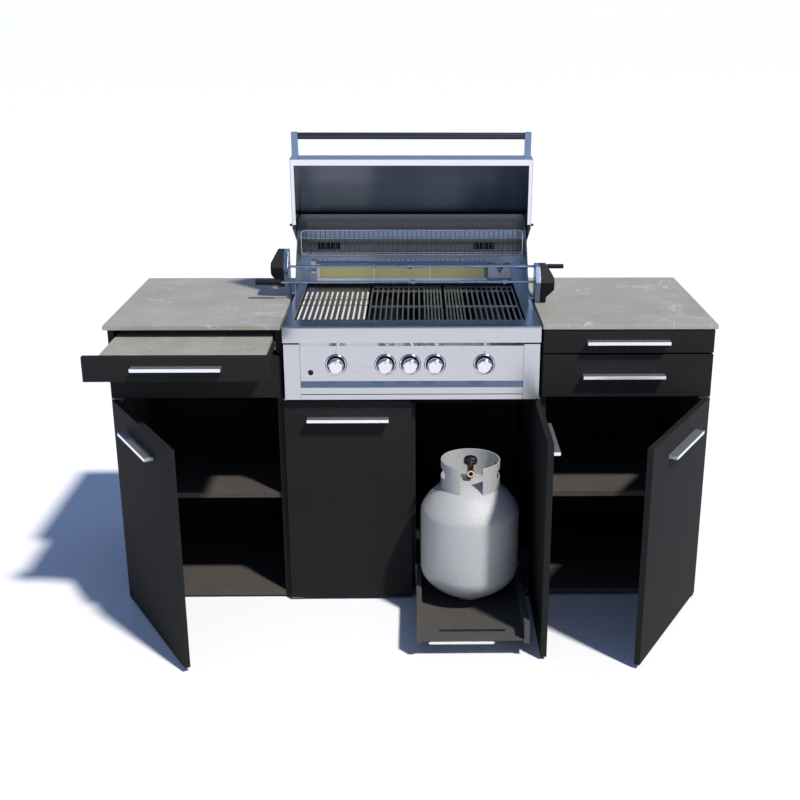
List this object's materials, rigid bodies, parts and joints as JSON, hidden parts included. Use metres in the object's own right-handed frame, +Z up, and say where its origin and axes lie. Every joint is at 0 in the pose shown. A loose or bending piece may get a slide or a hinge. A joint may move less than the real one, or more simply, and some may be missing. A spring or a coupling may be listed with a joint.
{
  "type": "outdoor kitchen island",
  "caption": "Outdoor kitchen island with stone worktops, a built-in roll-top gas barbecue, drawers, cupboard doors, a sliding chopping board and a pull-out gas bottle tray.",
  "frame": {"origin": "on the floor, in the middle of the worktop's outline", "axes": "+X along the island to the right as seen from the front, +Z up; doors and drawers face -Y"},
  "size_m": [1.85, 1.0993, 1.4531],
  "materials": {
    "charcoal_board": "matte laminate",
    "stone": "honed stone",
    "steel": "brushed",
    "handle_metal": "brushed",
    "runner_metal": "satin",
    "grate_metal": "satin",
    "black_metal": "satin black",
    "bottle_paint": "gloss grey paint",
    "valve_brass": "satin",
    "black_plastic": "satin black",
    "spit_chrome": "polished"
  },
  "bodies": {
    "island": {"end_panels": "charcoal_board", "partitions": "charcoal_board", "bottom_boards": "charcoal_board", "support_rails": "charcoal_board", "back_panel": "charcoal_board", "shelves": "charcoal_board", "worktops": "stone", "levelling_feet": "black_plastic", "door_pivot_brackets": "steel", "runner_channels": "runner_metal", "barbecue_deck": "steel", "firebox": "steel", "control_panel": "steel", "gas_manifold": "steel", "main_burners": "steel", "flame_tamers": "steel", "slotted_plate": "grate_metal", "cooking_grates": "grate_metal", "rear_housing": "steel", "rear_burner": "steel", "warming_rack": "spit_chrome", "rotisserie_motors": "black_plastic"},
    "left_door": {"left_door": "charcoal_board", "left_door_handle": "handle_metal"},
    "right_door": {"right_door": "charcoal_board", "right_door_handle": "handle_metal"},
    "centre_door": {"centre_door": "charcoal_board", "centre_door_handle": "handle_metal"},
    "gas_bay_door": {"gas_bay_door": "charcoal_board", "gas_bay_door_handle": "handle_metal"},
    "board_slide": {"board_slide_front": "charcoal_board", "board_slide_frame": "charcoal_board", "chopping_board": "stone", "board_slide_handle": "handle_metal"},
    "left_drawer": {"left_drawer_front": "charcoal_board", "left_drawer_box": "charcoal_board", "left_drawer_handle": "handle_metal"},
    "right_upper_drawer": {"right_upper_drawer_front": "charcoal_board", "right_upper_drawer_box": "charcoal_board", "right_upper_drawer_handle": "handle_metal"},
    "right_lower_drawer": {"right_lower_drawer_front": "charcoal_board", "right_lower_drawer_box": "charcoal_board", "right_lower_drawer_handle": "handle_metal"},
    "gas_tray": {"gas_tray": "black_metal", "gas_bottle": "bottle_paint", "bottle_collar": "bottle_paint", "bottle_valve": "valve_brass"},
    "handwheel": {"valve_handwheel": "black_plastic"},
    "hood": {"hood": "steel", "hood_handle": "black_metal"},
    "knob_1": {"knob_1": "steel"},
    "knob_2": {"knob_2": "steel"},
    "knob_3": {"knob_3": "steel"},
    "knob_4": {"knob_4": "steel"},
    "knob_5": {"knob_5": "steel"},
    "igniter_button": {"igniter_button": "steel"},
    "grease_tray": {"grease_tray": "steel"},
    "upper_spit": {"upper_spit": "spit_chrome"},
    "lower_spit": {"lower_spit": "spit_chrome"}
  },
  "joints": [
    {"name": "left_door_hinge", "type": "hinge", "parent": "island", "child": "left_door", "pos_m": [-0.912, -0.322, 0.35], "axis": [0, 0, -1], "range_deg": [-60, 35]},
    {"name": "right_door_hinge", "type": "hinge", "parent": "island", "child": "right_door", "pos_m": [0.912, -0.322, 0.35], "axis": [0, 0, 1], "range_deg": [-39, 35]},
    {"name": "centre_door_hinge", "type": "hinge", "parent": "island", "child": "centre_door", "pos_m": [-0.3895, -0.322, 0.35], "axis": [0, 0, -1], "range_deg": [0, 95]},
    {"name": "gas_bay_door_hinge", "type": "hinge", "parent": "island", "child": "gas_bay_door", "pos_m": [0.3895, -0.322, 0.35], "axis": [0, 0, 1], "range_deg": [-4, 15]},
    {"name": "board_slide_runner", "type": "slide", "parent": "island", "child": "board_slide", "axis": [0, -1, 0], "range_m": [-0.28, 0.06]},
    {"name": "left_drawer_runner", "type": "slide", "parent": "island", "child": "left_drawer", "axis": [0, -1, 0], "range_m": [0, 0.4]},
    {"name": "right_upper_drawer_runner", "type": "slide", "parent": "island", "child": "right_upper_drawer", "axis": [0, -1, 0], "range_m": [0, 0.4]},
    {"name": "right_lower_drawer_runner", "type": "slide", "parent": "island", "child": "right_lower_drawer", "axis": [0, -1, 0], "range_m": [0, 0.4]},
    {"name": "gas_tray_runner", "type": "slide", "parent": "island", "child": "gas_tray", "axis": [0, -1, 0], "range_m": [-0.388, 0.05]},
    {"name": "valve_spindle", "type": "hinge", "parent": "gas_tray", "child": "handwheel", "pos_m": [0.1775, -0.4, 0.49], "axis": [0, 0, 1], "range_deg": [0, 540]},
    {"name": "hood_pivot", "type": "hinge", "parent": "island", "child": "hood", "pos_m": [0, 0.098, 1.01], "axis": [-1, 0, 0], "range_deg": [-87, 0]},
    {"name": "knob_1_turn", "type": "hinge", "parent": "island", "child": "knob_1", "pos_m": [-0.2295, -0.34, 0.8], "axis": [0, -1, 0], "range_deg": [0, 225]},
    {"name": "knob_2_turn", "type": "hinge", "parent": "island", "child": "knob_2", "pos_m": [-0.0805, -0.34, 0.8], "axis": [0, -1, 0], "range_deg": [0, 225]},
    {"name": "knob_3_turn", "type": "hinge", "parent": "island", "child": "knob_3", "pos_m": [-0.0055, -0.34, 0.8], "axis": [0, -1, 0], "range_deg": [0, 225]},
    {"name": "knob_4_turn", "type": "hinge", "parent": "island", "child": "knob_4", "pos_m": [0.0695, -0.34, 0.8], "axis": [0, -1, 0], "range_deg": [0, 225]},
    {"name": "knob_5_turn", "type": "hinge", "parent": "island", "child": "knob_5", "pos_m": [0.2185, -0.34, 0.8], "axis": [0, -1, 0], "range_deg": [0, 225]},
    {"name": "igniter_push", "type": "slide", "parent": "island", "child": "igniter_button", "axis": [0, 1, 0], "range_m": [0, 0.004], "stiffness_N_per_m": 400},
    {"name": "grease_tray_slide", "type": "slide", "parent": "island", "child": "grease_tray", "axis": [0, -1, 0], "range_m": [0, 0.3]},
    {"name": "upper_spit_turn", "type": "hinge", "parent": "island", "child": "upper_spit", "pos_m": [0, 0.033, 1.02286], "axis": [1, 0, 0], "continuous": true},
    {"name": "lower_spit_turn", "type": "hinge", "parent": "island", "child": "lower_spit", "pos_m": [0, -0.004, 0.97954], "axis": [1, 0, 0], "continuous": true}
  ]
}
